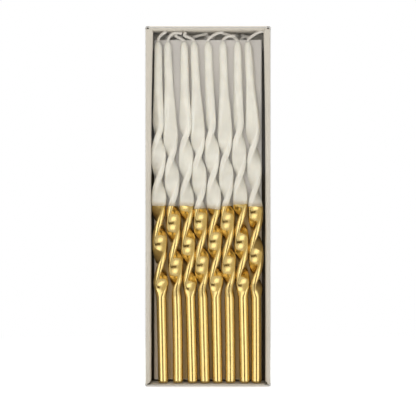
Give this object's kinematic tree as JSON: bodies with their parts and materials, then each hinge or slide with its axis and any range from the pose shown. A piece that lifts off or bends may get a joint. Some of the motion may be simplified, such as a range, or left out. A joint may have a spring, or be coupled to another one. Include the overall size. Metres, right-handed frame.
{
  "type": "boxed spiral birthday candles",
  "caption": "Card tray of slim spiral birthday candles, white wax with gold-dipped lower halves, lying in rows over a folded platform inside a clear slide-off sleeve.",
  "frame": {"origin": "middle of the base that the box stands on", "axes": "+Z from the candles' feet to their wicks, -Y out of the open front, +X to the right seen from the front"},
  "size_m": [0.0596, 0.0184, 0.1704],
  "materials": {
    "tray_card": "matte",
    "platform_card": "matte",
    "clear_film": "gloss",
    "wax": "satin",
    "gold_lacquer": "polished",
    "wick": "matte"
  },
  "bodies": {
    "tray": {"tray": "tray_card", "platform": "platform_card", "front_wax_1": "wax", "front_gold_coat_1": "gold_lacquer", "front_wick_1": "wick", "front_wax_2": "wax", "front_gold_coat_2": "gold_lacquer", "front_wick_2": "wick", "front_wax_3": "wax", "front_gold_coat_3": "gold_lacquer", "front_wick_3": "wick", "front_wax_4": "wax", "front_gold_coat_4": "gold_lacquer", "front_wick_4": "wick", "front_wax_5": "wax", "front_gold_coat_5": "gold_lacquer", "front_wick_5": "wick", "front_wax_6": "wax", "front_gold_coat_6": "gold_lacquer", "front_wick_6": "wick", "front_wax_7": "wax", "front_gold_coat_7": "gold_lacquer", "front_wick_7": "wick", "front_wax_8": "wax", "front_gold_coat_8": "gold_lacquer", "front_wick_8": "wick", "rear_wax_1": "wax", "rear_gold_coat_1": "gold_lacquer", "rear_wick_1": "wick", "rear_wax_2": "wax", "rear_gold_coat_2": "gold_lacquer", "rear_wick_2": "wick", "rear_wax_3": "wax", "rear_gold_coat_3": "gold_lacquer", "rear_wick_3": "wick", "rear_wax_4": "wax", "rear_gold_coat_4": "gold_lacquer", "rear_wick_4": "wick", "rear_wax_5": "wax", "rear_gold_coat_5": "gold_lacquer", "rear_wick_5": "wick", "rear_wax_6": "wax", "rear_gold_coat_6": "gold_lacquer", "rear_wick_6": "wick", "rear_wax_7": "wax", "rear_gold_coat_7": "gold_lacquer", "rear_wick_7": "wick", "rear_wax_8": "wax", "rear_gold_coat_8": "gold_lacquer", "rear_wick_8": "wick"},
    "sleeve": {"sleeve": "clear_film"}
  },
  "joints": [
    {"name": "sleeve_slide", "type": "slide", "parent": "tray", "child": "sleeve", "axis": [0, 0, 1], "range_m": [0, 0.172]}
  ]
}
